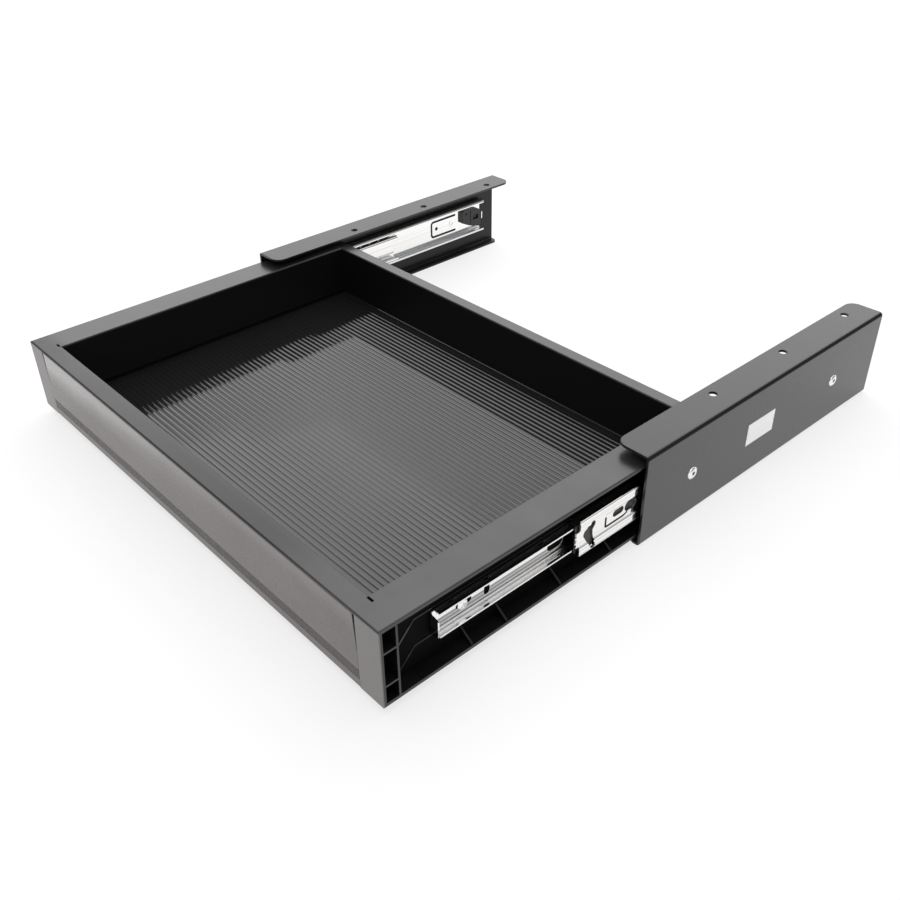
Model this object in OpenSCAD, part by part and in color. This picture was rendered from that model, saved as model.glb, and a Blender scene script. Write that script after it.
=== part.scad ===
// Drawer tray that hangs from two steel brackets on ball-bearing slides.
// Layout axes: X across, Y front to back from the tray's front, Z up from the top of its rim.

/* [Tray] */
// Width of the tray over its rim
tray_w = 460; // [400:1:560]
// Depth of the tray, front to back
tray_d = 312; // [300:1:380]
// Height of the tray
tray_h = 61; // [58:0.5:72]
// Thickness of the moulded walls
wall = 2.5; // [2:0.1:3]
// Width of the rim along the front
rim_front = 15; // [14:0.5:22]
// Width of the rim along each side
rim_side = 27.5; // [24:0.5:40]
// Width of the rim along the back
rim_back = 11; // [10:0.5:18]
// Depth of the tub below the rim
tub_depth = 46.5; // [40:0.5:48]
// Distance from one floor ridge to the next
ridge_pitch = 4.6; // [4:0.1:8]
// Height of the floor ridges
ridge_h = 0.6; // [0.4:0.1:1]
// Width of each solid end beside the front panel
front_end_w = 22; // [18:0.5:26]
// Thickness of the front panel
panel_t = 3; // [2.4:0.1:4]
// Number of grooves along the front panel
groove_count = 5; // [3:1:6]

/* [Brackets] */
// Length of each bracket
bracket_l = 305; // [300:1:340]
// Thickness of the bracket's sheet
bracket_t = 2; // [1.5:0.1:2.5]
// Width of the top flange
flange_w = 29.5; // [28:0.5:36]
// Width of the bottom lip
lip_w = 10.5; // [6:0.5:14]
// Height of the flange's top above the tray's rim
flange_rise = 8; // [6:0.5:12]
// Gap between the tray and the bottom lip
under_gap = 5; // [3:0.5:10]
// Inside radius of the bends
bend_r = 1; // [0.5:0.1:2]
// Radius of the flange's free corners
flange_corner_r = 9; // [4:0.5:12]
// Diameter of the mounting holes
hole_d = 6.5; // [5:0.1:8]
// Distance from one mounting hole to the next
hole_pitch = 90.5; // [80:0.5:96]
// Distance from the bracket's front to the first mounting hole
hole_front = 98; // [60:1:100]
// Distance from the bracket's outer face to the mounting holes
hole_in = 20; // [15:0.5:20]

/* [Slides] */
// Length of the outer rail
outer_l = 250; // [230:1:262]
// How much shorter the middle rail is than the outer one
middle_short = 30; // [29:1:50]
// How much shorter the inner rail is than the outer one
inner_short = 10; // [8:1:30]
// Thickness of the closed slide
slide_t = 12.7; // [12.7:0.1:13.5]
// Height of the outer rail
outer_h = 36.3; // [35.5:0.1:37]
// Thickness of the rails' sheet
rail_t = 1.2; // [1:0.05:1.3]
// Diameter of the balls
ball_d = 3; // [2.8:0.1:3.2]
// Clearance between a ball and its race
ball_gap = 0.1; // [0.08:0.01:0.15]
// Number of balls in each row of the outer cage
outer_balls = 8; // [4:1:9]
// Number of balls in each row of the inner cage
inner_balls = 8; // [4:1:9]
// Distance from one ball to the next
ball_pitch = 11.5; // [8:0.5:12]
// Gap between the tray's side and the bracket
side_gap = 1.5; // [1:0.1:2]

/* [Travel] */
// How far the drawer stands open
drawn_out = 215.5; // [190:0.5:225]
// Share of the drawer's travel that the middle rails make
middle_share = 0.45; // [0.42:0.01:0.46]
// Distance from the brackets' front to the closed tray's front
front_proud = 12.5; // [10:0.5:20]
// Distance from the bracket's front to the outer rail's front
rail_setback = 34; // [28:0.5:36]

/* [Hidden] */
$fn = 48;
eps = 0.01;

// Sides: the right side is built and the left one is its mirror image.
LEFT = -1;
RIGHT = 1;

// Across the width
bracket_in_x = tray_w / 2 + side_gap;
bracket_out_x = bracket_in_x + bracket_t;
mount_face_x = bracket_in_x - slide_t;
tub_x = tray_w / 2 - rim_side;

// Front to back
bracket_y = drawn_out + front_proud;
outer_y = bracket_y + rail_setback;
middle_l = outer_l - middle_short;
inner_l = outer_l - inner_short;
stop_gap = 0.3;
inner_y = outer_y - drawn_out - rail_t - stop_gap;
middle_travel = middle_share * drawn_out;
middle_y = outer_y - middle_travel;
outer_cage_y = outer_y + middle_l / 2 - middle_travel / 2;
inner_cage_y = (middle_y + inner_y + inner_l) / 2;

// Heights
slide_z = -tray_h / 2;
bracket_h = flange_rise + tray_h + under_gap + bracket_t;
floor_t = 3;
plate_t = wall;
place_y = -(bracket_y + bracket_l) / 2;
place_z = tray_h + under_gap + bracket_t;

// Slide section: u runs from the bracket's inner face to the tray, v up from the slide's axis.
race_r = ball_d / 2 + ball_gap;
race_mid = race_r + rail_t / 2;
shoulder_u = 2.2 + rail_t / 2;
ball_u1 = shoulder_u + race_mid + 0.8;
ball_v1 = outer_h / 2 - rail_t - race_r;
ball_u2 = slide_t - 0.7 - race_mid - rail_t / 2;
ball_v2 = ball_v1 - 2 * race_mid;
diagonal = cos(45);
emboss = 1;
emboss_half = 6.2;
outer_cage_t = 0.4;
outer_cage_u = 1.7;
outer_cage_l = outer_balls * ball_pitch + 8;
inner_cage_t = 0.6;
inner_cage_u = shoulder_u + emboss + rail_t / 2 + 0.35 + inner_cage_t / 2;
inner_cage_l = inner_balls * ball_pitch + 28;
pocket_gap = 0.15;

// Rail details
tab_root = 8.5;
tab_tip = 6.2;
tab_reach = 8.9;
flat_nose = 3.2;
nose_l = 2.5;
catch_l = 27;
catch_u = inner_cage_u + inner_cage_t / 2;
rivet_head_d = 10;
rivet_head_t = 1.2;
rivet_d = 4;
rivet_places = [outer_y + 20, outer_y + outer_l - 43];
screw_head_d = 8;
screw_head_t = 2;
screw_d = 3.5;
screw_l = 9;
screw_places = [inner_y + 26, inner_y + inner_l - 30];

// Tray details
front_rib_y = 12;
front_rib_z = [-18, -44];
rib_t = 1.5;
gusset_y = [70, 100, 150, 200, 250];
locating_rib_v = 10.6;
lintel = 1.6;
panel_half = tray_w / 2 - front_end_w;
panel_fit = 0.2;

// ---------- outlines and sheets ----------

// A path sample is [u, v, heading]; an arc runs clockwise when its angle falls.
function arc(centre, r, from, to) =
    let(steps = max(2, ceil(abs(to - from) / 12)), turn = to > from ? 90 : -90)
    [for (i = [0 : steps]) let(a = from + (to - from) * i / steps)
        [centre[0] + r * cos(a), centre[1] + r * sin(a), a + turn]];
function edge(path, d) = [for (p = path) [p[0] - d * sin(p[2]), p[1] + d * cos(p[2])]];
function reversed(list) = [for (i = [len(list) - 1 : -1 : 0]) list[i]];
function sheet(path, t) = concat(edge(path, t / 2), reversed(edge(path, -t / 2)));
// Outline of a round-ended cut that follows a path, w wide.
function slit(path, w) = let(r = w / 2, a = path[0], b = path[len(path) - 1]) concat(
    edge(path, r),
    [for (turn = [75 : -15 : -75]) [b[0] + r * cos(b[2] + turn), b[1] + r * sin(b[2] + turn)]],
    reversed(edge(path, -r)),
    [for (turn = [-105 : -15 : -255]) [a[0] + r * cos(a[2] + turn), a[1] + r * sin(a[2] + turn)]]);
// Round-ended slot centred on [x, y], l long and w wide.
function slot(x, y, l, w, heading = 0) = let(reach = (l - w) / 2)
    slit([for (end = [-1, 1])
        [x + end * reach * cos(heading), y + end * reach * sin(heading), heading]], w);
// The half above the axis and its mirror image below, as one path.
function both_halves(path) =
    concat(reversed([for (p = path) [p[0], -p[1], 180 - p[2]]]), path);

// Outer rail: web, corner and a lip that hooks round the outer balls.
function outer_path() = let(web_u = rail_t / 2, top_v = outer_h / 2 - rail_t / 2, r = 1.8)
    both_halves(concat(
        arc([web_u + r, top_v - r], r, 180, 90),
        arc([ball_u1, ball_v1], race_mid, 90, -10)));

// Middle rail: embossed web, race for the outer balls, lip that hooks round the inner balls.
function middle_path() = let(
        r = 1,
        drop = emboss - 2 * r * (1 - diagonal),
        jog_v = emboss_half + 2 * r * diagonal + drop,
        turn = 38,
        crest_r = (ball_u1 - race_mid * cos(turn) - shoulder_u) / (1 + cos(turn)),
        crest_v = ball_v1 - (race_mid + crest_r) * sin(turn))
    both_halves(concat(
        arc([shoulder_u + emboss - r, emboss_half], r, 0, 45),
        arc([shoulder_u + r, jog_v], r, 225, 180),
        arc([shoulder_u + crest_r, crest_v], crest_r, 180, turn),
        arc([ball_u1, ball_v1], race_mid, 180 + turn, 270),
        arc([ball_u2, ball_v2], race_mid, 90, -10)));

// Inner rail: flat web and two flanges, each with a groove that carries the inner balls.
function inner_path() = let(
        r = 1.2,
        web_u = slide_t - rail_t / 2,
        fillet = 1,
        turn = 30,
        flange_v = ball_v2 + fillet - (race_mid + fillet) * cos(turn),
        groove_half = (race_mid + fillet) * sin(turn))
    both_halves(concat(
        arc([web_u - r, flange_v - r], r, 0, 90),
        arc([ball_u2 + groove_half, flange_v - fillet], fillet, 90, 90 + turn),
        arc([ball_u2, ball_v2], race_mid, 270 + turn, 270 - turn),
        arc([ball_u2 - groove_half, flange_v - fillet], fillet, 90 - turn, 90),
        [[inner_cage_u + inner_cage_t / 2 + 0.35, flange_v, 180]]));

// Stop at the inner rail's front, bent out of its web: u, and y from the rail's front.
function stop_path() = let(r = 2, web_u = slide_t - rail_t / 2)
    concat([[web_u, flat_nose + 1, -90]],
        arc([web_u - r, rail_t / 2 + r], r, 0, -90),
        [[slide_t - tab_reach, rail_t / 2, -180]]);

// Bracket: bottom lip, web and top flange, with u inwards from the outer face.
function bracket_path() = let(r = bend_r + bracket_t / 2, half = bracket_t / 2)
    concat([[lip_w, half, 180]],
        arc([half + r, half + r], r, 270, 180),
        arc([half + r, bracket_h - half - r], r, 180, 90),
        [[flange_w, bracket_h - half, 0]]);

// ---------- helpers ----------

module place() translate([0, place_y, place_z]) children();

module on_side(side) mirror([side == LEFT ? 1 : 0, 0, 0]) children();

// Stands a section drawn in X and Z up and runs it along Y from y0.
module along_y(y0, l) translate([0, y0 + l, 0]) rotate([90, 0, 0]) linear_extrude(l) children();

// Stands a section drawn in Y and Z up and runs it along X from x0.
module along_x(x0, l) translate([x0, 0, 0]) rotate([90, 0, 90]) linear_extrude(l) children();

// Puts a slide section's u and v in the layout, on the right side.
module slide_section() translate([bracket_in_x, slide_z]) mirror([1, 0]) children();

// A round bar along X from slide depth u0 to u1, on the right side.
module cross_bar(d, y, v, u0, u1)
    translate([bracket_in_x - u1, y, slide_z + v]) rotate([0, 90, 0]) cylinder(d = d, h = u1 - u0);

// A slot through a web: from y to y + l, h high, centred on v.
module cross_slot(y, l, v, h, u0, u1)
    translate([bracket_in_x - u1, y, slide_z + v - h / 2]) cube([u1 - u0, l, h]);

// Cuts a shape drawn in y and v through the sheets from slide depth u0 to u1.
module web_cut(y, u0, u1) translate([bracket_in_x - u1, y, slide_z])
    rotate([90, 0, 90]) linear_extrude(u1 - u0) children();

// Rounds off a vertical corner at [x, y]; dx and dy point out of the sheet.
module corner_cut(x, y, dx, dy, r, z0, h) translate([x - dx * r, y - dy * r, z0])
    difference() {
        translate([dx > 0 ? 0 : -r - 1, dy > 0 ? 0 : -r - 1, 0]) cube([r + 1, r + 1, h]);
        translate([0, 0, -1]) cylinder(r = r, h = h + 2);
    }

// ---------- cabinet side ----------

module bracket(side) color([0.13, 0.13, 0.135]) place() on_side(side)
    difference() {
        along_y(bracket_y, bracket_l) translate([bracket_out_x, -place_z]) mirror([1, 0])
            polygon(sheet(bracket_path(), bracket_t));
        for (end = [0, 1]) {
            corner_cut(bracket_out_x - flange_w, bracket_y + end * bracket_l, -1, 2 * end - 1,
                flange_corner_r, bracket_h - place_z - bracket_t - 1, bracket_t + 2);
            corner_cut(bracket_out_x - lip_w, bracket_y + end * bracket_l, -1, 2 * end - 1,
                lip_w / 2, -place_z - 1, bracket_t + 2);
        }
        for (i = [0 : 2])
            translate([bracket_out_x - hole_in, bracket_y + hole_front + i * hole_pitch,
                    bracket_h - place_z - bracket_t - 1])
                cylinder(d = hole_d, h = bracket_t + 2);
        for (y = rivet_places) cross_bar(rivet_d + 0.1, y, 0, -bracket_t - 1, 1);
    }

// Low round heads outside the web; the shanks are set flush in the outer rail.
module bracket_rivets(side) color([0.85, 0.85, 0.86]) place() on_side(side)
    for (y = rivet_places)
        translate([bracket_out_x, y, slide_z]) rotate([0, 90, 0]) difference() {
            rotate_extrude() polygon([[0, -bracket_t - rail_t], [rivet_d / 2, -bracket_t - rail_t],
                [rivet_d / 2, 0], [rivet_head_d / 2, 0], [rivet_head_d / 2 - 0.2, 0.5],
                [rivet_head_d / 2 - 1.4, rivet_head_t], [0, rivet_head_t]]);
            translate([0, 0, rivet_head_t - 0.8]) cylinder(d = 2.6, h = 1);
        }

module outer_rail(side) color([0.82, 0.83, 0.85]) place() on_side(side)
    difference() {
        union() {
            along_y(outer_y, outer_l) slide_section() polygon(sheet(outer_path(), rail_t));
            // end stop bent in from the web
            along_y(outer_y + outer_l - rail_t, rail_t) slide_section()
                polygon([[0, -5], [0, 5], [6, 4], [6, -4]]);
        }
        for (y = rivet_places) {
            cross_bar(rivet_d + 0.1, y, 0, -1, rail_t + 1);
            cross_bar(rivet_d + 2, y, 0, rail_t / 2, rail_t + 1);
        }
        web_cut(outer_y, -1, rail_t + 1) outer_rail_cuts();
    }

// Round-ended slots, and near the back a U-shaped slit that frees a springy tongue.
module outer_rail_cuts() let(tongue_y = outer_l - 71, arm = 34, half = 8.4, r = 3) {
    translate([60, 0]) circle(d = 6);
    polygon(slot(102, 0, 12, 5));
    polygon(slit(concat(
        [[tongue_y + arm, -half, 180]],
        arc([tongue_y + r, r - half], r, 270, 180),
        arc([tongue_y + r, half - r], r, 180, 90),
        [[tongue_y + arm, half, 0]]), 2.4));
    translate([tongue_y + 7, 0]) circle(d = 4);
}

// Moulded block that stops and holds the drawer when it is shut.
module rear_catch(side) color([0.06, 0.06, 0.065]) place() on_side(side)
    let(y1 = outer_y + outer_l - rail_t - stop_gap, y0 = y1 - catch_l) difference() {
        along_x(bracket_in_x - catch_u, catch_u - rail_t) translate([0, slide_z]) polygon([
            [y0, -3], [y0, 9.5], [y0 + 2, 12], [y0 + 6, 12.5], [y1 - 3, 8], [y1, 4.5],
            [y1, -10], [y1 - 3, -12], [y0 + 9, -7.5]]);
        cross_slot(y0 + 15, catch_l - 19, 0, 5, catch_u - 2, catch_u + 1);
        cross_slot(y0 + 11, 0.8, 2, 16, catch_u - 1, catch_u + 1);
        cross_bar(2.4, y0 + 5, 6.5, catch_u - 1.5, catch_u + 1);
    }

// Plain sticker, bare of any print.
module blank_label() color([0.93, 0.93, 0.92]) place()
    translate([bracket_out_x, bracket_y + 121, slide_z - 9]) cube([0.15, 35, 19]);

// ---------- ball cages ----------

// One C-shaped strip with a row of pockets along its top and bottom arms.
// u is the web's middle, and ball_u and v place the balls.
module cage(u, ball_u, v, t, y_mid, l, count) let(arm = ball_u + race_r - 0.3 - u) difference() {
    along_y(y_mid - l / 2, l) slide_section() difference() {
        translate([u - t / 2, -v - t / 2]) square([arm + t / 2, 2 * v + t]);
        translate([u + t / 2, -v + t / 2]) square([arm + 1, 2 * v - t]);
    }
    for (y = ball_places(y_mid, count))
        translate([bracket_in_x - ball_u, y, slide_z - v - 1])
            cylinder(d = ball_d + 2 * pocket_gap, h = 2 * v + 2);
}

module balls(u, v, y_mid, count)
    for (y = ball_places(y_mid, count), end = [-1, 1])
        translate([bracket_in_x - u, y, slide_z + end * v]) sphere(d = ball_d);

function ball_places(y_mid, count) =
    [for (i = [0 : count - 1]) y_mid + (i - (count - 1) / 2) * ball_pitch];

module outer_cage(side) color([0.75, 0.76, 0.78]) place() on_side(side)
    cage(outer_cage_u, ball_u1, ball_v1, outer_cage_t, outer_cage_y, outer_cage_l, outer_balls);

module outer_ball_rows(side) color([0.9, 0.9, 0.9]) place() on_side(side)
    balls(ball_u1, ball_v1, outer_cage_y, outer_balls);

module inner_cage(side) color([0.07, 0.07, 0.075]) place() on_side(side)
    cage(inner_cage_u, ball_u2, ball_v2, inner_cage_t, inner_cage_y, inner_cage_l, inner_balls);

module inner_ball_rows(side) color([0.9, 0.9, 0.9]) place() on_side(side)
    balls(ball_u2, ball_v2, inner_cage_y, inner_balls);

// ---------- middle rails ----------

module middle_rail(side) color([0.84, 0.85, 0.87]) place() on_side(side)
    difference() {
        union() {
            along_y(middle_y + nose_l, middle_l - nose_l) slide_section()
                polygon(sheet(middle_path(), rail_t));
            // nose of the embossed web
            along_y(middle_y, nose_l + 1) slide_section()
                translate([shoulder_u + emboss - rail_t / 2, -emboss_half])
                    square([rail_t, 2 * emboss_half]);
        }
        web_cut(middle_y, 0, shoulder_u + emboss + rail_t / 2 + 0.1) {
            polygon([for (p = hook_path()) [p[0], p[1]]]);
            polygon(slit(tongue_path(), 1.9));
            polygon(slot(41.8, 2.6, 11.2, 5.6));
            polygon(slot(54.6, 2, 12.4, 8.4));
            polygon(slot(117, 0, 14, 5.5));
            for (y = [80, 150]) translate([y, 0]) circle(d = 6.5);
        }
    }

// S-shaped opening behind the front edge: a neck, a round belly and a slanting leg.
function hook_path() = concat(
    arc([15, 7.6], 2.3, 60, 180),
    arc([10.6, 1.1], 3.9, 100, 225),
    arc([16.1, -11], 2.7, 195, 355),
    [[16.2, -3], [15.8, 1.6]],
    arc([16.2, 5.6], 2.2, -40, 50));

// J-shaped slit below a tongue, which runs into the round opening behind it.
function tongue_path() = concat(
    [[29, 3.6, 270]],
    arc([30.6, -2.4], 1.6, 180, 270),
    arc([46, 6], 10, 270, 300));

// ---------- drawer ----------

module inner_rail(side) color([0.84, 0.85, 0.87]) place() on_side(side)
    difference() {
        union() {
            along_y(inner_y + flat_nose, inner_l - flat_nose) slide_section()
                polygon(sheet(inner_path(), rail_t));
            inner_rail_stop();
        }
        web_cut(inner_y, slide_t - 3, slide_t + 1) {
            polygon(slot(27.5, 0, 13, 5.2));
            polygon(slot(47, 0, 10.6, 4.8, 90));
            polygon(slot(108.5, 0, 14.6, 7.6));
            polygon(slot(156, 0, 12, 5));
        }
        cross_bar(screw_d + 0.4, screw_places[1], 0, slide_t - 3, slide_t + 1);
    }

// Tapered stop that curves out of the web at the front.
module inner_rail_stop() intersection() {
    translate([bracket_in_x, inner_y, slide_z - tab_root]) mirror([1, 0, 0])
        linear_extrude(2 * tab_root) polygon(sheet(stop_path(), rail_t));
    along_y(inner_y - 1, flat_nose + 3) slide_section()
        polygon([[slide_t, -tab_root], [slide_t, tab_root],
            [slide_t - tab_reach, tab_tip], [slide_t - tab_reach, -tab_tip]]);
}

// Pan-head screws with a cross recess.
module rail_screws(side) color([0.86, 0.86, 0.87]) place() on_side(side)
    for (y = screw_places)
        translate([mount_face_x + rail_t, y, slide_z]) rotate([0, 90, 0]) difference() {
            rotate_extrude() polygon([[0, -screw_l - 1.5], [screw_d / 2, -screw_l], [screw_d / 2, 0],
                [screw_head_d / 2, 0], [screw_head_d / 2, 0.7], [screw_head_d / 2 - 0.8, 1.6],
                [screw_head_d / 2 - 2, screw_head_t], [0, screw_head_t]]);
            for (turn = [0, 90]) rotate([0, 0, turn + 20])
                translate([-2.3, -0.55, screw_head_t - 1.3]) cube([4.6, 1.1, 2]);
        }

// Rectangle whose top corners are rounded, with its base at z0.
module round_top(w0, w1, z0, r) {
    translate([w0, z0]) square([w1 - w0, -z0 - r]);
    translate([w0 + r, -r - eps]) square([w1 - w0 - 2 * r, r + eps]);
    for (w = [w0 + r, w1 - r]) translate([w, -r]) circle(r);
}

// Section of the tub: drafted walls, a small radius at the floor and a chamfered mouth.
function tub_section(w0, w1) = let(draft = 0.5, r = 0.8, mouth = 0.6)
    concat([[w0 - mouth, 1], [w0 - mouth, 0], [w0, -mouth]],
        [for (a = [180 : 15 : 270])
            [w0 + draft + r + r * cos(a), -tub_depth + r + r * sin(a)]],
        [for (a = [270 : 15 : 360])
            [w1 - draft - r + r * cos(a), -tub_depth + r + r * sin(a)]],
        [[w1, -mouth], [w1 + mouth, 0], [w1 + mouth, 1]]);

module tray_block() let(r = 1.2) intersection() {
    along_y(0, tray_d) round_top(-tray_w / 2, tray_w / 2, -tray_h, r);
    along_x(-tray_w / 2 - 1, tray_w + 2) round_top(0, tray_d, -tray_h, r);
}

module tub() intersection() {
    along_y(-1, tray_d + 2) polygon(tub_section(-tub_x, tub_x));
    along_x(-tray_w, 2 * tray_w) polygon(tub_section(rim_front, tray_d - rim_back));
}

// Box from one corner to the other.
module span(low, high) translate(low) cube(high - low);

// Open channel along the right side, with the ribs of its front end left standing.
module side_channel() let(
        back = mount_face_x, out = tray_w / 2 + 1,
        top = -wall, low = -tray_h + plate_t,
        tops = concat([top], [for (z = front_rib_z) z - rib_t]),
        lows = concat([for (z = front_rib_z) z], [low])) {
    span([back, front_rib_y + rib_t, low], [out, tray_d + 1, top]);
    for (i = [0 : len(tops) - 1])
        span([back, wall, lows[i]], [out, front_rib_y, tops[i]]);
}

// Ribs that locate the inner rail and bend down to the front rib.
module locating_rib(v) let(proud = 0.4, turn_y = 34, half = rib_t / 2,
        z = slide_z + v, y0 = front_rib_y + rib_t - eps, run = turn_y - y0)
    intersection() {
        along_x(mount_face_x - eps, proud + eps) polygon([
            [tray_d, z - half], [tray_d, z + half], [turn_y - half / 2, z + half],
            [y0, z + half - run], [y0, z - 2 * half - run], [turn_y, z - half]]);
        span([0, 0, -tray_h + plate_t - eps], [tray_w, tray_d, 0]);
    }

// Small webs between the channel's wall and its top and bottom plates.
module gussets() let(x0 = mount_face_x - eps, reach = tray_w / 2 - mount_face_x - 0.5, rise = 8.5)
    for (y = gusset_y) {
        along_y(y, rib_t) polygon([[x0, -wall + eps], [x0 + reach, -wall + eps],
            [x0 + reach, -wall - 0.8], [x0, -wall - rise]]);
        along_y(y, rib_t) polygon([[x0, -tray_h + plate_t - eps],
            [x0 + reach, -tray_h + plate_t - eps], [x0 + reach, -tray_h + plate_t + 0.8],
            [x0, -tray_h + plate_t + rise]]);
    }

// Hollows that are open below: between the tub and the outer walls, and under the floor.
module under_hollows() let(
        low = -tray_h - 1, top = -wall - 1,
        side_in = tub_x + wall, side_out = mount_face_x - wall,
        front_in = panel_t + wall, front_out = rim_front - wall,
        back_in = tray_d - rim_back + wall, back_out = tray_d - wall) {
    for (side = [LEFT, RIGHT]) on_side(side) for (i = [0 : 3])
        span([side_in, front_out + bay_y(i), low], [side_out, front_out + bay_y(i + 1) - rib_t, top]);
    for (i = [0 : 4])
        span([bay_x(i) + rib_t / 2, front_in, low], [bay_x(i + 1) - rib_t / 2, front_out, top]);
    for (i = [0 : 4])
        span([bay_x(i) + rib_t / 2, back_in, low], [bay_x(i + 1) - rib_t / 2, back_out, top]);
    for (i = [0 : 4], j = [0 : 2])
        span([bay_x(i) + rib_t / 2, floor_y(j) + rib_t / 2, low],
            [bay_x(i + 1) - rib_t / 2, floor_y(j + 1) - rib_t / 2, -tub_depth - floor_t]);
}
function bay_x(i) = -tub_x + 2 * tub_x * i / 5;
function bay_y(i) = (tray_d - rim_back - rim_front + 2 * wall) * i / 4;
function floor_y(j) = rim_front + (tray_d - rim_front - rim_back) * j / 3;

module floor_ridges() let(
        y0 = rim_front + 4, count = floor((tray_d - rim_front - rim_back - 8) / ridge_pitch),
        z = -tub_depth, w = ridge_pitch / 2)
    along_x(-tub_x + 2, 2 * tub_x - 4) polygon(concat(
        [[y0, z - 1]],
        [for (i = [0 : count - 1], c = [[0, 0], [0.3, ridge_h], [w - 0.3, ridge_h], [w, 0]])
            [y0 + i * ridge_pitch + c[0], z + c[1]]],
        [[y0 + count * ridge_pitch, z], [y0 + count * ridge_pitch, z - 1]]));

// Bosses in the side hollows that take the rail screws.
module screw_bosses() for (side = [LEFT, RIGHT]) on_side(side) for (y = screw_places)
    cross_bar(8, y, 0, slide_t + wall / 2, slide_t + screw_l + 1.3);

module screw_holes() for (side = [LEFT, RIGHT]) on_side(side) for (y = screw_places)
    cross_bar(screw_d + 0.1, y, 0, slide_t - 1, slide_t + screw_l + 0.6);

module tray() color([0.08, 0.08, 0.085]) place()
    difference() {
        union() {
            difference() {
                tray_block();
                for (side = [LEFT, RIGHT]) on_side(side) side_channel();
                under_hollows();
                tub();
            }
            for (side = [LEFT, RIGHT]) on_side(side) {
                for (v = [-1, 1]) locating_rib(v * locating_rib_v);
                gussets();
            }
            floor_ridges();
            screw_bosses();
        }
        screw_holes();
        // recess for the front panel
        span([-panel_half, -1, -tray_h - 1], [panel_half, panel_t, -lintel]);
        // small slots at the inner front corners
        for (side = [LEFT, RIGHT]) on_side(side)
            span([tub_x + 0.8, rim_front - 2.2, -wall - 2], [tub_x + 6, rim_front - 0.4, 1]);
    }

// Flat fascia with fine grooves along its lower part.
module front_panel() color([0.10, 0.10, 0.105]) place()
    let(half = panel_half - panel_fit, top = -lintel - panel_fit, low = -tray_h, groove_pitch = 1.7,
        groove_w = 0.7, groove_deep = 0.5, first = low + 0.115 * tray_h)
    difference() {
        along_x(-half, 2 * half) polygon(concat(
            [[panel_t, low], [0.6, low], [0, low + 0.6]],
            [for (i = [0 : groove_count - 1], c = [[0, 0], [groove_deep, 0], [groove_deep, 1], [0, 1]])
                [c[0], first + i * groove_pitch + c[1] * groove_w]],
            [[0, top - 0.4], [0.4, top], [panel_t, top]]));
        // relief beside each end, widest at the top
        for (side = [LEFT, RIGHT]) on_side(side) along_y(-1, panel_t + 2)
            polygon([[half + 1, top + 1], [half - 2, top + 1], [half, low * 0.55],
                [half + 1, low * 0.55]]);
    }

bracket(LEFT);  // left_bracket
bracket(RIGHT);  // right_bracket
bracket_rivets(LEFT);  // left_bracket_rivets
bracket_rivets(RIGHT);  // right_bracket_rivets
outer_rail(LEFT);  // left_outer_rail
outer_rail(RIGHT);  // right_outer_rail
rear_catch(LEFT);  // left_rear_catch
rear_catch(RIGHT);  // right_rear_catch
blank_label();
outer_cage(LEFT);  // left_outer_cage
outer_cage(RIGHT);  // right_outer_cage
outer_ball_rows(LEFT);  // left_outer_balls
outer_ball_rows(RIGHT);  // right_outer_balls
middle_rail(LEFT);  // left_middle_rail
middle_rail(RIGHT);  // right_middle_rail
inner_cage(LEFT);  // left_inner_cage
inner_cage(RIGHT);  // right_inner_cage
inner_ball_rows(LEFT);  // left_inner_balls
inner_ball_rows(RIGHT);  // right_inner_balls
inner_rail(LEFT);  // left_inner_rail
inner_rail(RIGHT);  // right_inner_rail
rail_screws(LEFT);  // left_rail_screws
rail_screws(RIGHT);  // right_rail_screws
tray();
front_panel();
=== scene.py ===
import math

import bmesh
import bpy
from bpy.props import FloatProperty, FloatVectorProperty, PointerProperty
from mathutils import Matrix, Vector


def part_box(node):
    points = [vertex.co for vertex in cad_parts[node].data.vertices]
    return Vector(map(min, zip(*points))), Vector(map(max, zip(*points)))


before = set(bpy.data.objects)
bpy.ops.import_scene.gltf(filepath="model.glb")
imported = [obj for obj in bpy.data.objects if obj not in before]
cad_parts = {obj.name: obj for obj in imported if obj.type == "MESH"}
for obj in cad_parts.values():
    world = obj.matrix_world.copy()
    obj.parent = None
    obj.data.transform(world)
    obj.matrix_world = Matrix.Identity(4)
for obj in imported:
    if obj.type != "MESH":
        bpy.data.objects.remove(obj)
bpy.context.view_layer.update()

bl_info = {
    "name": "Under-desk drawer",
    "version": (1, 0, 0),
    "blender": (4, 5, 0),
    "location": "View3D > Sidebar > Drawer",
    "description": "Finishes and studio for a moulded drawer on ball-bearing slides",
    "category": "Object",
}

MM = 0.001
SIDES = ("left", "right")

TRAY_LOW, TRAY_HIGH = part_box("tray")
PANEL_LOW, PANEL_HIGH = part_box("front_panel")
RAIL_LOW, RAIL_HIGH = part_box("right_outer_rail")
LABEL_LOW, LABEL_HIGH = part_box("blank_label")
SLIDE_LOW, SLIDE_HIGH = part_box("right_inner_rail")
BRACKET_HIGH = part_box("right_bracket")[1]
RIVETS_LOW, RIVETS_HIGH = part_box("right_bracket_rivets")

# The tray's shape, as far as its finish follows it. The tub's limits lie within its walls.
RIM_Z = TRAY_HIGH.z - 1.0 * MM
TUB_SIDE = TRAY_HIGH.x - 26.0 * MM
TUB_FRONT, TUB_BACK = TRAY_LOW.y + 10.0 * MM, TRAY_HIGH.y - 2.0 * MM
TUB_FLOOR = TRAY_HIGH.z - 46.5 * MM
RIDGE_PITCH = 4.6 * MM
FIRST_RIDGE = TRAY_LOW.y + 20.15 * MM
TRAY_EDGE = 1.5 * MM

# The height of the panel's grooves, from the lowest to the highest, and a plane within the
# brackets' sheet that tells its inner face from its outer one.
GROOVES = (PANEL_LOW.z + 5 * MM, PANEL_LOW.z + 17 * MM)
MID_SHEET = BRACKET_HIGH.x - 1.6 * MM

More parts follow.
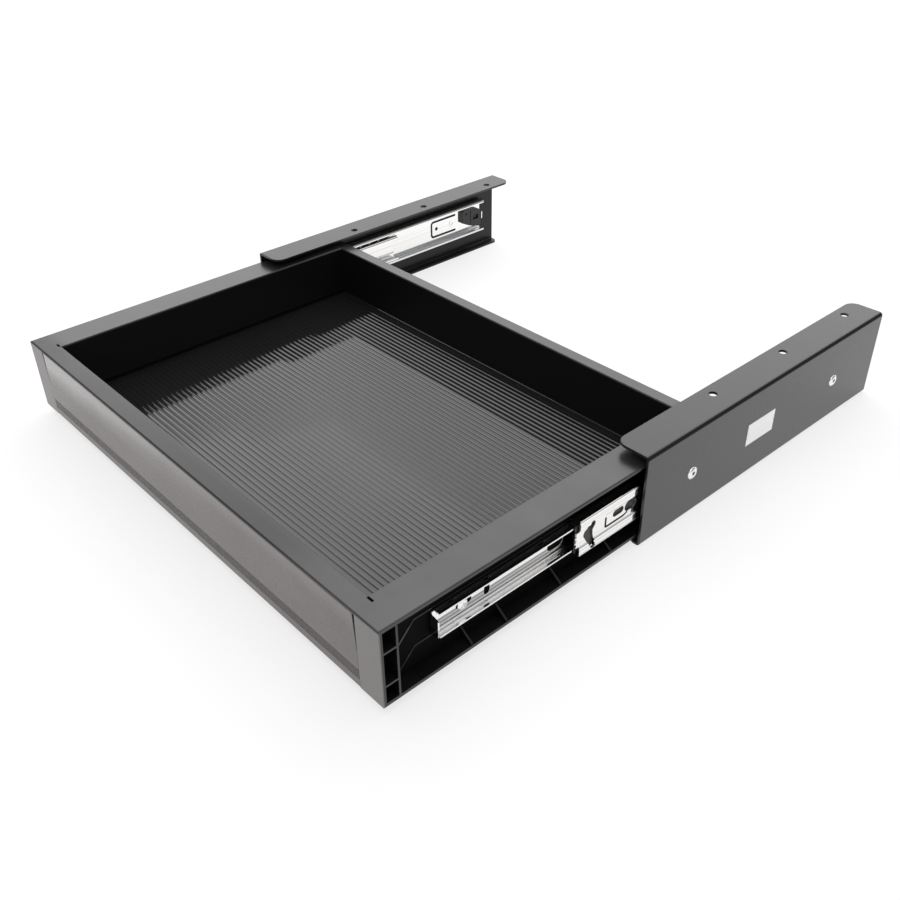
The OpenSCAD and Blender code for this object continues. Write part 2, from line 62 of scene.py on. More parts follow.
# Fixed tones. TRAY_ENDS and the inner rails' lower greys go from dark to light.
WHITE = (1.0, 1.0, 1.0, 1.0)
TRAY_ENDS = ((0.086, 0.077, 0.074), (0.116, 0.104, 0.100))
# Painted shade, with drawing lines through it, for the inner rails' lower half.
SHADED_DRAWN_GREYS = ((0.26, 0.265, 0.275), (0.62, 0.63, 0.635))
# Painted shade for the outer rails' lower trough.
TROUGH_SHADE = (0.64, 0.665, 0.69)
# Painted shade for the pits in the rivets' outer heads.
DIMPLE_SHADE = (0.16, 0.16, 0.165)
PAPER, WORN_PAPER = (1.0, 0.99, 0.99), (0.78, 0.775, 0.775)
PLASTIC_IOR = 1.5

# The studio: the sines of the heights between which the sky brightens, and for each lamp its
# direction from the object, its distance, its width and height, and its radiance.
SKY_CLIMB = (0.05, 0.75)
LAMPS = {
    "back_box": ((-0.53, 0.62, 0.64), 2.4, (3.7, 2.5), 1.65),
    "top_box": ((0.25, -0.25, 1.0), 2.2, (1.6, 1.6), 1.0),
    "fill_box": ((0.92, -0.42, 0.14), 2.4, (1.8, 0.55), 1.6),
}


# ---------- settings ----------

class DrawerStage(bpy.types.PropertyGroup):
    """Studio floor, lamps and camera."""
    floor_size: FloatProperty(
        name="Floor size", description="Width of the studio floor", default=14.0, unit="LENGTH")
    floor_glow: FloatProperty(
        name="Floor glow", description="Share of the floor's white that shadows can't darken",
        default=0.70, min=0.0, max=1.0, subtype="FACTOR")
    sky_low: FloatProperty(
        name="Sky at the horizon", description="Brightness of the studio round the floor's edge",
        default=0.10, min=0.0, max=2.0)
    sky_high: FloatProperty(
        name="Sky overhead", description="Brightness of the studio overhead",
        default=0.85, min=0.0, max=2.0)
    azimuth: FloatProperty(
        name="Azimuth", description="How far the camera stands round to the right of the front",
        default=math.radians(48.537), unit="ROTATION")
    elevation: FloatProperty(
        name="Elevation", description="How far the camera looks down",
        default=math.radians(34.678), unit="ROTATION")
    roll: FloatProperty(
        name="Roll", description="Turn of the camera about its own axis",
        default=math.radians(-1.092), unit="ROTATION")
    aim: FloatVectorProperty(
        name="Aim", description="Point in the middle of the picture",
        default=(0.1179, TRAY_LOW.y + 0.1540, TRAY_HIGH.z - 0.0080), subtype="TRANSLATION")
    distance: FloatProperty(
        name="Distance", description="From the camera to the point it aims at",
        default=0.7064, unit="LENGTH")
    lens: FloatProperty(
        name="Lens", description="Focal length of the camera in millimetres",
        default=40.24, unit="CAMERA")


class DrawerPlastic(bpy.types.PropertyGroup):
    """Moulded black plastic of the tray and its front."""
    tray_colour: FloatVectorProperty(
        name="Tray", description="Colour of the moulded tray",
        default=(0.0105, 0.0105, 0.0110), subtype="COLOR", min=0.0, max=1.0)
    rim_colour: FloatVectorProperty(
        name="Rim", description="Colour of the tray's flat rim",
        default=(0.030, 0.0285, 0.029), subtype="COLOR", min=0.0, max=1.0)
    panel_colour: FloatVectorProperty(
        name="Front panel", description="Colour of the grooved front panel",
        default=(0.086, 0.071, 0.067), subtype="COLOR", min=0.0, max=1.0)
    rim_roughness: FloatProperty(
        name="Rim roughness", description="Roughness of the rim and the tub's walls",
        default=0.30, min=0.0, max=1.0, subtype="FACTOR")
    floor_roughness: FloatProperty(
        name="Floor roughness", description="Roughness of the ridged floor",
        default=0.06, min=0.0, max=1.0, subtype="FACTOR")
    grain: FloatProperty(
        name="Grain", description="Size of the moulded grain", default=0.35 * MM, unit="LENGTH",
        precision=6)


class DrawerSteel(bpy.types.PropertyGroup):
    """Coated brackets, plated rails and small steel pieces."""
    coat_colour: FloatVectorProperty(
        name="Coat", description="Colour of the brackets' powder coat",
        default=(0.014, 0.0138, 0.0142), subtype="COLOR", min=0.0, max=1.0)
    coat_roughness: FloatProperty(
        name="Coat roughness", description="Roughness of the powder coat",
        default=0.30, min=0.0, max=1.0, subtype="FACTOR")
    coat_grain: FloatProperty(
        name="Coat grain", description="Size of the bumps in the powder coat",
        default=0.9 * MM, unit="LENGTH", precision=6)
    zinc_colour: FloatVectorProperty(
        name="Zinc", description="Colour of the plated rails",
        default=(0.945, 0.943, 0.942), subtype="COLOR", min=0.0, max=1.0)
    zinc_roughness: FloatProperty(
        name="Zinc roughness", description="Roughness of the plated rails",
        default=0.07, min=0.0, max=1.0, subtype="FACTOR")


# ---------- shader expressions ----------

class Value:
    """A number that changes over a surface. Sums on it add Math nodes to its finish."""

    def __init__(self, finish, socket):
        self.finish = finish
        self.socket = socket

    def _math(self, operation, *terms, clamp=False):
        settings = {"operation": operation, "use_clamp": clamp}
        return self.finish.node("ShaderNodeMath", settings, dict(enumerate(terms)))

    def __add__(self, other):
        return self._math("ADD", self, other)

    def __mul__(self, other):
        return self._math("MULTIPLY", self, other)

    def __sub__(self, other):
        return self._math("SUBTRACT", self, other)

    def __rsub__(self, other):
        return self._math("SUBTRACT", other, self)

    def __gt__(self, other):
        return self._math("GREATER_THAN", self, other)

    def __lt__(self, other):
        return self._math("LESS_THAN", self, other)

    def __abs__(self):
        return self._math("ABSOLUTE", self)

    __radd__ = __add__
    __rmul__ = __mul__

    def clamped(self):
        return self._math("ADD", self, 0.0, clamp=True)

    def cosine(self):
        return self._math("COSINE", self)

    def between(self, low, high):
        """1 from low to high and 0 elsewhere."""
        return (self > low) * (self < high)

    def fall(self, low, high):
        """1 below low and 0 above high, with a smooth step between."""
        return 1 - self.ramp(low, high)

    def ramp(self, low, high):
        """0 below low and 1 above high, with a smooth step between."""
        return self.finish.node(
            "ShaderNodeMapRange", {"interpolation_type": "SMOOTHSTEP"},
            {"Value": self, "From Min": low, "From Max": high})


class Finish:
    """A procedural material: one Principled shader and the nodes that feed it."""

    def __init__(self, name, **constants):
        self.material = bpy.data.materials.new(name)
        self.material.use_nodes = True
        self.tree = self.material.node_tree
        self.shader = self.tree.nodes["Principled BSDF"]
        self.place = self.tree.nodes.new("ShaderNodeTexCoord").outputs["Object"]
        for key, value in constants.items():
            self.set(key.replace("_", " "), value)

    def node(self, kind, settings=None, sockets=None, out=0):
        """Adds a node, sets it up, fills or links its sockets and gives back one output."""
        made = self.tree.nodes.new(kind)
        for key, value in (settings or {}).items():
            setattr(made, key, value)
        for key, value in (sockets or {}).items():
            self._fill(made.inputs[key], value)
        return Value(self, made.outputs[out])

    def _fill(self, socket, value):
        if isinstance(value, Value):
            value = value.socket
        if isinstance(value, bpy.types.NodeSocket):
            self.tree.links.new(value, socket)
        else:
            socket.default_value = value

    def set(self, name, value):
        self._fill(self.shader.inputs[name], value)

    def surface(self, shader):
        """Makes a shader the material's surface, in place of the one before."""
        self._fill(self.tree.nodes["Material Output"].inputs["Surface"], shader)

    def axis(self, name):
        return self.node("ShaderNodeSeparateXYZ", None, {"Vector": self.place}, out=name)

    def stretched(self, scale):
        """Object coordinates with each axis scaled, so that a pattern runs along an axis."""
        return self.node("ShaderNodeMapping", None, {"Vector": self.place, "Scale": scale})

    def noise(self, size, detail=2.0, roughness=0.5, stretch=(1.0, 1.0, 1.0)):
        """Noise from 0 to 1 whose blotches are about that size, in metres."""
        return self.node("ShaderNodeTexNoise", None, {
            "Vector": self.stretched(stretch), "Scale": 1.0 / size, "Detail": detail,
            "Roughness": roughness})

    def blend(self, mask, first, second):
        """Colour that goes from first to second as mask goes from 0 to 1."""
        ends = [end if isinstance(end, Value) else (*end, 1.0) for end in (first, second)]
        return self.node("ShaderNodeMix", {"data_type": "RGBA"}, {
            "Factor": mask, 6: ends[0], 7: ends[1]}, out=2)

    def tones(self, mask, colour, low, high):
        """A colour whose brightness goes from low to high times its own as mask goes up."""
        return self.blend(mask, shade(colour, low), shade(colour, high))

    def dull(self, mask, colour):
        """Turns the surface as dull and dark as an unlit moulding where mask is 1."""
        matt = self.node("ShaderNodeBsdfPrincipled", None, {
            "Base Color": (*colour, 1.0), "Roughness": 0.75, "Specular IOR Level": 0.06})
        self.surface(self.node("ShaderNodeMixShader", None, {
            0: mask, 1: self.shader.outputs["BSDF"], 2: matt}))

    def relief(self, height, depth, strength=1.0, edge=None, level=None):
        """Bumps of that depth in metres. Edges are rounded to the radius edge, and where the
        mask level is up, their rounding is laid flat again. It needs an edge."""
        sockets = {"Height": height, "Distance": depth, "Strength": strength}
        if edge is not None:
            sockets["Normal"] = self.node("ShaderNodeBevel", {"samples": 4}, {"Radius": edge})
        if level is not None:
            laid = self.node("ShaderNodeMix", {"data_type": "VECTOR"}, {
                "Factor": level, 4: sockets["Normal"], 5: (0.0, 0.0, 1.0)}, out=1)
            sockets["Normal"] = self.node(
                "ShaderNodeVectorMath", {"operation": "NORMALIZE"}, {0: laid})
        self.set("Normal", self.node("ShaderNodeBump", None, sockets))


def shade(colour, factor):
    """The same colour, lighter or darker by a factor."""
    return tuple(min(1.0, part * factor) for part in colour)


def coat(finish, *nodes):
    """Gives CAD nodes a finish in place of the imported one."""
    for name in nodes:
        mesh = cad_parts[name].data
        mesh.materials.clear()
        mesh.materials.append(finish.material)


def both(*names):
    """The left and right nodes of those names."""
    return [f"{side}_{name}" for side in SIDES for name in names]


# ---------- finishes ----------

def moulded_tray(settings):
    """Satin black plastic: a glossy ridged floor, walls in painted shade and warm grey front ends.
    """
    finish = Finish(
        "moulded_tray", IOR=PLASTIC_IOR, Specular_IOR_Level=0.60, Coat_IOR=PLASTIC_IOR,
        Coat_Roughness=0.22)
    x, y, z = (finish.axis(name) for name in "XYZ")
    out = abs(x)

    # Masks of the tray's faces.
    below_rim = z.fall(RIM_Z - 1.0 * MM, RIM_Z)
    above_foot = z > TRAY_LOW.z + TRAY_EDGE
    front = y.fall(TRAY_LOW.y + 0.6 * MM, TRAY_LOW.y + 1.0 * MM) * below_rim
    front_rim = y.fall(TRAY_LOW.y + 8.0 * MM, TRAY_LOW.y + 24.0 * MM) * (1 - below_rim)
    front_rim = front_rim * x.fall(110 * MM, 200 * MM)
    inside = (out < TUB_SIDE) * y.between(TUB_FRONT, TUB_BACK)
    tub_floor = inside * (z > TUB_FLOOR - 1.0 * MM)
    tub_floor = tub_floor * z.fall(TUB_FLOOR + 0.65 * MM, TUB_FLOOR + 0.9 * MM)
    off_floor = 1 - tub_floor
    walls = below_rim * off_floor
    wall_foot = inside * (out > TUB_SIDE - 2.4 * MM)
    wall_foot = wall_foot * z.fall(TUB_FLOOR + 3.0 * MM, TUB_FLOOR + 4.0 * MM)
    side = out.between(SLIDE_LOW.x - 0.6 * MM, SLIDE_LOW.x + 0.25 * MM) * below_rim
    side = side * above_foot * y.between(TRAY_LOW.y + TRAY_EDGE, TRAY_HIGH.y - TRAY_EDGE)
    ribs = out.between(SLIDE_LOW.x, TRAY_HIGH.x - 0.4 * MM) * (1 - inside) * below_rim
    ribs = ribs * above_foot * (y > TRAY_LOW.y + 30.0 * MM)

    # Patterns over all of them.
    grain = finish.noise(settings.grain, detail=3.0)
    cloud = finish.noise(55 * MM, detail=3.0, roughness=0.55)
    waves = finish.noise(24 * MM, detail=1.0)
    scuffs = finish.noise(6 * MM, detail=4.0, roughness=0.7, stretch=(1.0, 0.12, 1.0))
    scuffs = scuffs.ramp(0.62, 0.8)

    black = finish.tones(
        (cloud * 0.8 + scuffs * 0.3).clamped(), settings.tray_colour, 1.0, 1.5)
    # Painted shade: everything below the rim except the tub's floor is darkened to about a third.
    black = finish.blend(walls, black, shade(settings.tray_colour, 0.35))
    rim = finish.tones(cloud.ramp(0.3, 0.7), settings.rim_colour, 0.7, 1.5)
    # Painted shade: the rim's front strip is darkened to under half the rim colour.
    rim = finish.blend(front_rim, rim, shade(settings.rim_colour, 0.45))
    black = finish.blend(1 - below_rim, black, rim)
    finish.set("Base Color", finish.blend(front, black, finish.blend(cloud, *TRAY_ENDS)))
    finish.set("Coat Weight", front * (0.42 + (x > 0) * 0.13))
    uneven = (cloud - 0.5) * 0.12 + (grain - 0.5) * 0.03 + scuffs * 0.06
    finish.set("Roughness", (
        settings.rim_roughness + walls * 0.08
        + tub_floor * (settings.floor_roughness - settings.rim_roughness)
        + off_floor * uneven).clamped())

    # The floor's ridges have narrow round crests, and its edge rounding is laid nearly flat.
    crest = ((y - FIRST_RIDGE) * (2 * math.pi / RIDGE_PITCH)).cosine() * 0.5 + 0.5
    crest = crest * crest
    ridges = crest * crest * tub_floor * 4.2
    finish.relief(
        grain * 0.25 * off_floor + waves * 0.5 + ridges, 0.06 * MM, edge=0.25 * MM,
        level=tub_floor * 0.75)
    # Painted shade: the rim's front strip is also dulled, a little more towards the right.
    painted_light = front_rim * (0.10 + x.ramp(-150 * MM, 110 * MM) * 0.12)
    # Painted shade: the side channel, its ribs, the tub's walls and the foot of its side walls are
    # dulled and darkened as if unlit, and the floor slightly.
    unlit = side + ribs * 0.5 + inside * walls * 0.45 + tub_floor * 0.08 + wall_foot
    finish.dull((unlit + painted_light).clamped(), shade(settings.tray_colour, 0.3))
    return finish


def grooved_panel(settings):
    """Smoky satin film on the flat front, a little warm, with painted shade in the grooves and a
    painted sheen.
    """
    finish = Finish(
        "grooved_panel", IOR=PLASTIC_IOR, Specular_IOR_Level=0.9,
        Specular_Tint=(1.0, 0.955, 0.945, 1.0), Coat_IOR=PLASTIC_IOR, Coat_Roughness=0.22)
    x, y, z = (finish.axis(name) for name in "XYZ")
    smoke = finish.noise(30 * MM, detail=3.0, roughness=0.55, stretch=(0.55, 1.0, 1.3))
    streaks = finish.noise(6.0 * MM, detail=1.0, stretch=(0.05, 1.0, 1.0))
    film = finish.tones(
        (smoke * 0.94 + streaks * 0.06).ramp(0.25, 0.75), settings.panel_colour, 0.82, 1.25)
    # Painted shade: the grooves' floors and sides are darkened to a fifth of the panel's colour
    # and dulled.
    groove = (y > PANEL_LOW.y + 0.15 * MM) * z.between(*GROOVES)
    shadow = shade(settings.panel_colour, 0.2)
    finish.set("Base Color", finish.blend(groove, film, shadow))
    # Painted sheen: a glossier coat along the top edge, spread wider over the left part, stands in
    # for a highlight.
    sheen = z.ramp(PANEL_HIGH.z - 30 * MM, PANEL_HIGH.z - 2 * MM) * x.fall(-200 * MM, 100 * MM)
    sheen = sheen + z.ramp(PANEL_HIGH.z - 14 * MM, PANEL_HIGH.z - 1 * MM) * 0.4
    finish.set("Coat Weight", (sheen * (1.1 + (smoke - 0.5) * 0.8)).clamped())
    finish.set("Roughness", (0.27 + (smoke - 0.5) * 0.12 + (streaks - 0.5) * 0.04).clamped())
    finish.relief(streaks, 0.002 * MM)
    finish.dull(groove * 0.8, shadow)
    return finish


def powder_coat(settings):
    """Black powder coat with a fine orange peel and a trace of dust."""
    finish = Finish(
        "powder_coat", IOR=PLASTIC_IOR, Specular_IOR_Level=0.55, Coat_IOR=PLASTIC_IOR,
        Coat_Roughness=0.3)
    out, z = abs(finish.axis("X")), finish.axis("Z")
    outer_face = out > BRACKET_HIGH.x - 0.3 * MM
    inner_web = (out < MID_SHEET) * (z < BRACKET_HIGH.z - 4.0 * MM)
    bend = (out > MID_SHEET) * (z > BRACKET_HIGH.z - 2.6 * MM)
    peel = finish.noise(settings.coat_grain, detail=2.0, roughness=0.6)
    cloud = finish.noise(40 * MM, detail=3.0)
    dust = finish.noise(0.6 * MM, detail=1.0).ramp(0.74, 0.80)
    finish.set("Base Color", finish.tones(
        (cloud * 0.5 + dust * 0.6).clamped(), settings.coat_colour, 1.0, 1.6))
    finish.set("Roughness", (
        settings.coat_roughness + (peel - 0.5) * 0.12 + (cloud - 0.5) * 0.05).clamped())
    finish.set("Coat Weight", outer_face * 0.26)
    finish.relief(peel, 0.07 * MM, strength=0.6, edge=0.8 * MM)
    # Painted shade: the inner web is dulled and darkened a little, and the top bend more.
    finish.dull((inner_web * 0.45 + bend * 0.75).clamped(), shade(settings.coat_colour, 0.5))
    return finish


def plating(finish, colour, warmth):
    """Slow drift of zinc between its own colour and a warmer one: the drift, and the colour."""
    tint = finish.noise(18 * MM, detail=2.0, stretch=(1.0, 0.1, 1.0))
    warm = [part * share for part, share in zip(colour, warmth)]
    return tint, finish.blend(tint.ramp(0.3, 0.7), colour, warm)


def bright_zinc(settings):
    """Bright zinc on rolled steel, with drawing lines along the rail and painted shade in the
    lower trough.
    """
    finish = Finish("bright_zinc", Metallic=1.0)
    out, z = abs(finish.axis("X")), finish.axis("Z")
    trough = z.fall(RAIL_LOW.z + 5.0 * MM, RAIL_LOW.z + 6.2 * MM)
    trough = trough * (out > RAIL_HIGH.x - 4.0 * MM)
    lines = finish.noise(2.2 * MM, detail=1.0, stretch=(1.0, 0.003, 1.0))
    tint, clean = plating(finish, settings.zinc_colour, (1.0, 0.985, 0.965))
    lined = finish.blend(lines.ramp(0.28, 0.48), shade(settings.zinc_colour, 0.86), clean)
    # Painted shade: the lower trough is laid over with a darker bluish grey.
    finish.set("Base Color", finish.blend(trough * 0.8, lined, TROUGH_SHADE))
    finish.set("Roughness", (
        settings.zinc_roughness + (tint - 0.5) * 0.04 + trough * 0.22).clamped())
    finish.relief(lines, 0.001 * MM, strength=0.5)
    return finish


def drawn_zinc(settings):
    """Inner rails' zinc: clean above, lined grey in painted shade below, edges kept bright as
    painted highlight.
    """
    finish = Finish("drawn_zinc", Metallic=1.0)
    z = finish.axis("Z")
    middle, half = (SLIDE_LOW.z + SLIDE_HIGH.z) / 2, (SLIDE_HIGH.z - SLIDE_LOW.z) / 2
    # Painted highlight: the painted shade below stops short of both edges, so they stay bright.
    painted_light = abs(z - middle).ramp(half - 2.2 * MM, half - 1.4 * MM)
    below = z.fall(middle - 0.8 * MM, middle + 0.2 * MM)
    lines = finish.noise(1.6 * MM, detail=2.0, roughness=0.6, stretch=(1.0, 0.002, 1.0))
    clean = plating(finish, settings.zinc_colour, (1.0, 0.98, 0.96))[1]
    # Painted shade over the lower half, with drawing lines through it.
    grey = finish.blend(lines.ramp(0.38, 0.60), *SHADED_DRAWN_GREYS)
    finish.set("Base Color", finish.blend(below * (1 - painted_light), clean, grey))
    finish.set("Roughness", (
        settings.zinc_roughness + below * 0.05 + (lines - 0.5) * 0.05).clamped())
    finish.relief(lines, 0.0015 * MM, strength=0.6, edge=0.35 * MM)
    return finish


def ground_steel(finish, settings):
    """Faint haze of ground and turned steel: the haze, and the colour that follows it."""
    haze = finish.noise(1.2 * MM, detail=3.0)
    return haze, finish.tones(haze, settings.zinc_colour, 0.94, 1.04)


def polished_steel(settings):
    """Turned and ground steel of the balls and the screw heads."""
    finish = Finish("polished_steel", Metallic=1.0)
    haze, plain = ground_steel(finish, settings)
    finish.set("Base Color", plain)
    finish.set("Roughness", (0.22 + haze * 0.14).clamped())
    finish.relief(haze, 0.01 * MM, strength=0.5)
    return finish


def rivet_head(settings):
    """Bright rivets whose outer heads carry the pit the setting tool leaves, darkened with painted
    shade.
    """
    finish = Finish("rivet_head", Metallic=1.0)
    out, y, z = abs(finish.axis("X")), finish.axis("Y"), finish.axis("Z")
    radius = (RIVETS_HIGH.z - RIVETS_LOW.z) / 2
    across, dimple_and_shade = z - (RIVETS_LOW.z + radius), 0
    for middle in (RIVETS_LOW.y + radius, RIVETS_HIGH.y - radius):
        along = y - middle
        reach = along * along + across * across
        dimple_and_shade = dimple_and_shade + reach.fall((0.20 * radius) ** 2, (0.42 * radius) ** 2)
    dimple_and_shade = dimple_and_shade * (out > BRACKET_HIGH.x)
    haze, plain = ground_steel(finish, settings)
    # Painted shade: the pits are darkened to a dark grey.
    finish.set("Base Color", finish.blend(dimple_and_shade * 0.8, plain, DIMPLE_SHADE))
    finish.set("Roughness", (0.22 + haze * 0.14 + dimple_and_shade * 0.2).clamped())
    finish.relief(haze * 0.3 - dimple_and_shade, 0.1 * MM, strength=0.7)
    return finish


def cage_strip(settings):
    """Plated spring strip of the outer ball cages."""
    finish = Finish("cage_strip", Metallic=1.0)
    lines = finish.noise(1.2 * MM, detail=1.0, stretch=(1.0, 0.03, 1.0))
    finish.set("Base Color", finish.tones(lines, settings.zinc_colour, 0.72, 0.84))
    finish.set("Roughness", (0.24 + lines * 0.12).clamped())
    finish.relief(lines, 0.004 * MM, strength=0.6)
    return finish


def black_moulding(settings):
    """Matt black plastic of the inner cages and the rear catches."""
    finish = Finish("black_moulding", IOR=PLASTIC_IOR, Specular_IOR_Level=0.5)
    grain = finish.noise(0.4 * MM, detail=3.0)
    cloud = finish.noise(5 * MM, detail=2.0)
    finish.set("Base Color", finish.tones(cloud, settings.tray_colour, 1.0, 1.8))
    finish.set("Roughness", (0.42 + (grain - 0.5) * 0.16).clamped())
    finish.relief(grain, 0.03 * MM, edge=0.25 * MM)
    return finish


def label_film():
    """Bare white sticker: coated paper with a faint fibre and a dusty, lifted edge."""
    finish = Finish("label_film", IOR=1.45, Specular_IOR_Level=0.9)
    fibre = finish.noise(0.5 * MM, detail=4.0, stretch=(1.0, 0.5, 1.0))
    centre, half = (LABEL_LOW + LABEL_HIGH) / 2, (LABEL_HIGH - LABEL_LOW) / 2
    y, z = finish.axis("Y"), finish.axis("Z")
    rim = abs(y - centre.y).ramp(half.y - 1.2 * MM, half.y)
    rim = (rim + abs(z - centre.z).ramp(half.z - 1.2 * MM, half.z)).clamped()
    finish.set("Base Color", finish.blend(
        (rim * 0.6 + fibre * 0.3).clamped(), PAPER, WORN_PAPER))
    finish.set("Roughness", (0.38 + fibre * 0.15).clamped())
    finish.relief(fibre * 0.4 - rim, 0.02 * MM)
    return finish


# ---------- stage ----------

def studio_floor(settings):
    """White sweep that keeps the object's shadow and shows white in gloss."""
    finish = Finish("studio_floor", Base_Color=WHITE, Roughness=1.0, Specular_IOR_Level=0.0)
    rays = finish.tree.nodes.new("ShaderNodeLightPath")
    seen = finish.node("ShaderNodeMath", {"operation": "MAXIMUM"}, {
        0: rays.outputs["Is Camera Ray"], 1: rays.outputs["Is Glossy Ray"]})
    glow = finish.node("ShaderNodeEmission", None, {"Color": WHITE})
    finish.surface(finish.node("ShaderNodeMixShader", None, {
        0: seen * settings.floor_glow, 1: finish.shader.outputs["BSDF"], 2: glow}))
    return finish


def soft_lamp(name, direction, distance, size, radiance):
    """A rectangular soft box that faces the object. Its power follows from its radiance."""
    data = bpy.data.lights.new(name, "AREA")
    data.shape = "RECTANGLE"
    data.size, data.size_y = size
    data.energy = radiance * math.pi * size[0] * size[1]
    lamp = bpy.data.objects.new(name, data)
    bpy.context.scene.collection.objects.link(lamp)
    target = Vector((0.0, (TRAY_LOW.y + TRAY_HIGH.y) / 2, TRAY_HIGH.z))
    away = Vector(direction).normalized()
    turned = away.to_track_quat("Z", "Y").to_matrix().to_4x4()
    lamp.matrix_world = Matrix.Translation(target + away * distance) @ turned


def look_at(settings):
    """Camera that looks at the aim point from the right of the front."""
    level = math.cos(settings.elevation)
    away = Vector((
        math.sin(settings.azimuth) * level, -math.cos(settings.azimuth) * level,
        math.sin(settings.elevation)))
    turned = away.to_track_quat("Z", "Y").to_matrix().to_4x4()
    data = bpy.data.cameras.new("camera")
    data.sensor_width = 36.0
    data.lens = settings.lens
    camera = bpy.data.objects.new("camera", data)
    bpy.context.scene.collection.objects.link(camera)
    camera.matrix_world = (
        Matrix.Translation(Vector(settings.aim) + away * settings.distance) @ turned
        @ Matrix.Rotation(settings.roll, 4, "Z"))
    bpy.context.scene.camera = camera


def studio_sky(settings):
    """Surround that lights things as a studio does: dim low down and pale overhead. The camera
    itself sees it plain white."""
    world = bpy.data.worlds.new("studio")
    world.use_nodes = True
    tree = world.node_tree
    place = tree.nodes.new("ShaderNodeTexCoord")
    split = tree.nodes.new("ShaderNodeSeparateXYZ")
    climb = tree.nodes.new("ShaderNodeMapRange")
    climb.interpolation_type = "SMOOTHSTEP"
    for key, value in (
            ("From Min", SKY_CLIMB[0]), ("From Max", SKY_CLIMB[1]),
            ("To Min", settings.sky_low), ("To Max", settings.sky_high)):
        climb.inputs[key].default_value = value
    tree.links.new(place.outputs["Generated"], split.inputs[0])
    tree.links.new(split.outputs["Z"], climb.inputs["Value"])
    rays = tree.nodes.new("ShaderNodeLightPath")
    shown = tree.nodes.new("ShaderNodeMix")
    shown.inputs["B"].default_value = 1.0
    tree.links.new(rays.outputs["Is Camera Ray"], shown.inputs["Factor"])
    tree.links.new(climb.outputs["Result"], shown.inputs["A"])
    tree.links.new(shown.outputs["Result"], tree.nodes["Background"].inputs["Strength"])
    tree.nodes["Background"].inputs["Color"].default_value = WHITE
    bpy.context.scene.world = world


class DRAWER_OT_stage(bpy.types.Operator):
    """Lay the pale floor, hang the lamps and set up the camera"""
    bl_idname = "drawer.stage"
    bl_label = "Stage"

    def execute(self, context):
        settings = context.scene.drawer_stage
        mesh = bpy.data.meshes.new("floor")
        shape = bmesh.new()
        bmesh.ops.create_grid(shape, x_segments=1, y_segments=1, size=settings.floor_size / 2)
        shape.to_mesh(mesh)
        shape.free()
        floor = bpy.data.objects.new("floor", mesh)
        context.scene.collection.objects.link(floor)
        mesh.materials.append(studio_floor(settings).material)
        studio_sky(settings)
        for name, lamp in LAMPS.items():
            soft_lamp(name, *lamp)
        look_at(settings)
        context.scene.view_settings.view_transform = "Standard"
        return {"FINISHED"}


class DRAWER_OT_tray(bpy.types.Operator):
    """Finish the moulded tray"""
    bl_idname = "drawer.tray"
    bl_label = "Tray"

    def execute(self, context):
        coat(moulded_tray(context.scene.drawer_plastic), "tray")
        return {"FINISHED"}


class DRAWER_OT_panel(bpy.types.Operator):
    """Finish the grooved front panel"""
    bl_idname = "drawer.panel"
    bl_label = "Front panel"

    def execute(self, context):
        coat(grooved_panel(context.scene.drawer_plastic), "front_panel")
        return {"FINISHED"}


class DRAWER_OT_brackets(bpy.types.Operator):
    """Powder coat the two brackets"""
    bl_idname = "drawer.brackets"
    bl_label = "Brackets"

    def execute(self, context):
        coat(powder_coat(context.scene.drawer_steel), *both("bracket"))
        return {"FINISHED"}


class DRAWER_OT_rails(bpy.types.Operator):
    """Plate the outer, middle and inner rails"""
    bl_idname = "drawer.rails"
    bl_label = "Rails"

    def execute(self, context):
        steel = context.scene.drawer_steel
        coat(bright_zinc(steel), *both("outer_rail", "middle_rail"))
        coat(drawn_zinc(steel), *both("inner_rail"))
        return {"FINISHED"}


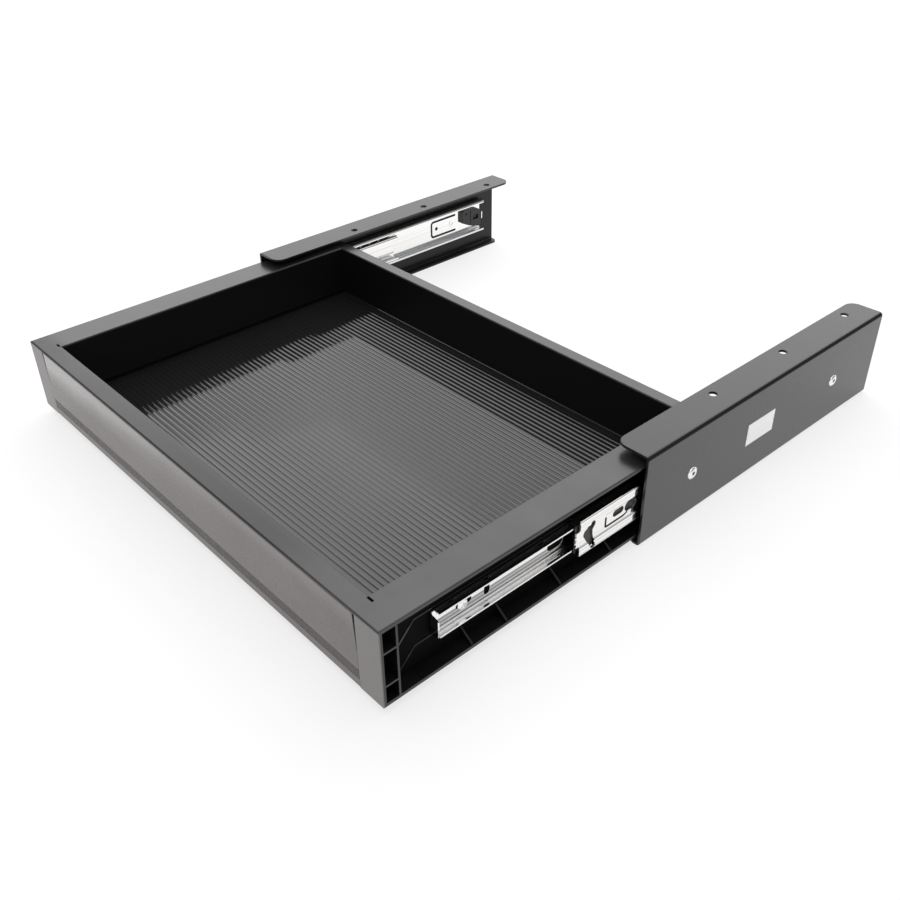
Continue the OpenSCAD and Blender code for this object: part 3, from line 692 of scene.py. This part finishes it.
class DRAWER_OT_small_steel(bpy.types.Operator):
    """Polish the balls, rivets and screws, and finish the steel cages"""
    bl_idname = "drawer.small_steel"
    bl_label = "Balls, rivets, screws and steel cages"

    def execute(self, context):
        steel = context.scene.drawer_steel
        coat(polished_steel(steel), *both("outer_balls", "inner_balls", "rail_screws"))
        coat(rivet_head(steel), *both("bracket_rivets"))
        coat(cage_strip(steel), *both("outer_cage"))
        return {"FINISHED"}


class DRAWER_OT_small_plastic(bpy.types.Operator):
    """Finish the black cages and rear catches"""
    bl_idname = "drawer.small_plastic"
    bl_label = "Cages and catches"

    def execute(self, context):
        coat(black_moulding(context.scene.drawer_plastic), *both("inner_cage", "rear_catch"))
        return {"FINISHED"}


class DRAWER_OT_label(bpy.types.Operator):
    """Finish the bare sticker"""
    bl_idname = "drawer.label"
    bl_label = "Label"

    def execute(self, context):
        coat(label_film(), "blank_label")
        return {"FINISHED"}


OPERATORS = (
    DRAWER_OT_stage, DRAWER_OT_tray, DRAWER_OT_panel, DRAWER_OT_brackets, DRAWER_OT_rails,
    DRAWER_OT_small_steel, DRAWER_OT_small_plastic, DRAWER_OT_label)


class DRAWER_PT_panel(bpy.types.Panel):
    """Buttons that finish the drawer, and its sizes and colours"""
    bl_idname = "DRAWER_PT_panel"
    bl_label = "Under-desk drawer"
    bl_space_type = "VIEW_3D"
    bl_region_type = "UI"
    bl_category = "Drawer"

    def draw(self, context):
        for operator in OPERATORS:
            self.layout.operator(operator.bl_idname)
        for name, group in SETTINGS.items():
            box = self.layout.box()
            for key in group.__annotations__:
                box.prop(getattr(context.scene, name), key)


SETTINGS = {
    "drawer_stage": DrawerStage, "drawer_plastic": DrawerPlastic, "drawer_steel": DrawerSteel}


def register():
    for group in SETTINGS.values():
        bpy.utils.register_class(group)
    for name, group in SETTINGS.items():
        setattr(bpy.types.Scene, name, PointerProperty(type=group))
    for item in OPERATORS:
        bpy.utils.register_class(item)
    bpy.utils.register_class(DRAWER_PT_panel)


def unregister():
    bpy.utils.unregister_class(DRAWER_PT_panel)
    for item in reversed(OPERATORS):
        bpy.utils.unregister_class(item)
    for name in SETTINGS:
        delattr(bpy.types.Scene, name)
    for group in reversed(SETTINGS.values()):
        bpy.utils.unregister_class(group)


def main():
    register()
    for operator in OPERATORS:
        group, name = operator.bl_idname.split(".")
        getattr(getattr(bpy.ops, group), name)()


if __name__ == "__main__":
    main()
